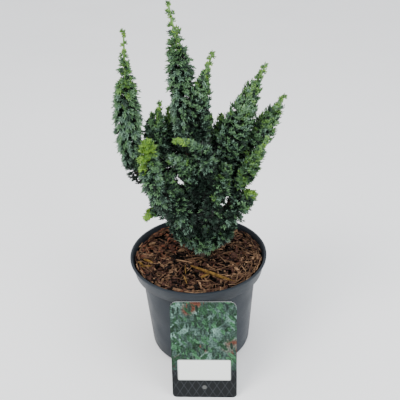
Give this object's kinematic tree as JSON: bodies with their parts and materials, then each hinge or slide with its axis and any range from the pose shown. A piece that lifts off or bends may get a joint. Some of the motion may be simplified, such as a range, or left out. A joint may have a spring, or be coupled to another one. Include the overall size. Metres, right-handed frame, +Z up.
{
  "type": "potted dwarf hinoki cypress",
  "caption": "Dwarf hinoki cypress in a round nursery pot: leaning trunk, upswept boughs and narrow upright plumes of dense foliage, with bark mulch and a card leaning on the pot.",
  "frame": {"origin": "centre of the pot's flat underside, on the ground", "axes": "+Z up; -Y towards the plant card, which is the front; +X to the right as seen from the front"},
  "size_m": [0.1964, 0.1986, 0.4295],
  "materials": {
    "pot_plastic": "satin, dark slate grey",
    "bark_mulch": "rough chipped bark, reddish brown",
    "card_plastic": "printed card, glossy",
    "bark": "thin flaking bark",
    "cypress_foliage": "waxy scale leaves, dark blue-green"
  },
  "bodies": {
    "root": {"bough_back_left": "bark", "bough_back_middle": "bark", "bough_back_right": "bark", "bough_back_spire": "bark", "bough_front_finger": "bark", "bough_front_left": "bark", "bough_left_back_shoulder": "bark", "bough_left_column": "bark", "bough_left_shoulder": "bark", "bough_low_left": "bark", "bough_low_right": "bark", "bough_middle_spire": "bark", "bough_right_arm": "bark", "bough_right_front_arm": "bark", "bough_right_shoulder": "bark", "bough_right_spire": "bark", "foliage_back_heart": "cypress_foliage", "foliage_back_left": "cypress_foliage", "foliage_back_middle": "cypress_foliage", "foliage_back_right": "cypress_foliage", "foliage_back_spire": "cypress_foliage", "foliage_foot_back": "cypress_foliage", "foliage_foot_back_left": "cypress_foliage", "foliage_foot_front": "cypress_foliage", "foliage_foot_left": "cypress_foliage", "foliage_foot_right": "cypress_foliage", "foliage_front_finger": "cypress_foliage", "foliage_front_left": "cypress_foliage", "foliage_front_middle": "cypress_foliage", "foliage_heart": "cypress_foliage", "foliage_left_back_shoulder": "cypress_foliage", "foliage_left_column": "cypress_foliage", "foliage_left_shoulder": "cypress_foliage", "foliage_low_front_left": "cypress_foliage", "foliage_low_front_right": "cypress_foliage", "foliage_low_left": "cypress_foliage", "foliage_low_right": "cypress_foliage", "foliage_middle_spire": "cypress_foliage", "foliage_right_arm": "cypress_foliage", "foliage_right_front_arm": "cypress_foliage", "foliage_right_shoulder": "cypress_foliage", "foliage_right_spire": "cypress_foliage", "foliage_top_leader": "cypress_foliage", "growing_medium": "bark_mulch", "plant_card": "card_plastic", "pot": "pot_plastic", "trunk": "bark"}
  },
  "joints": []
}
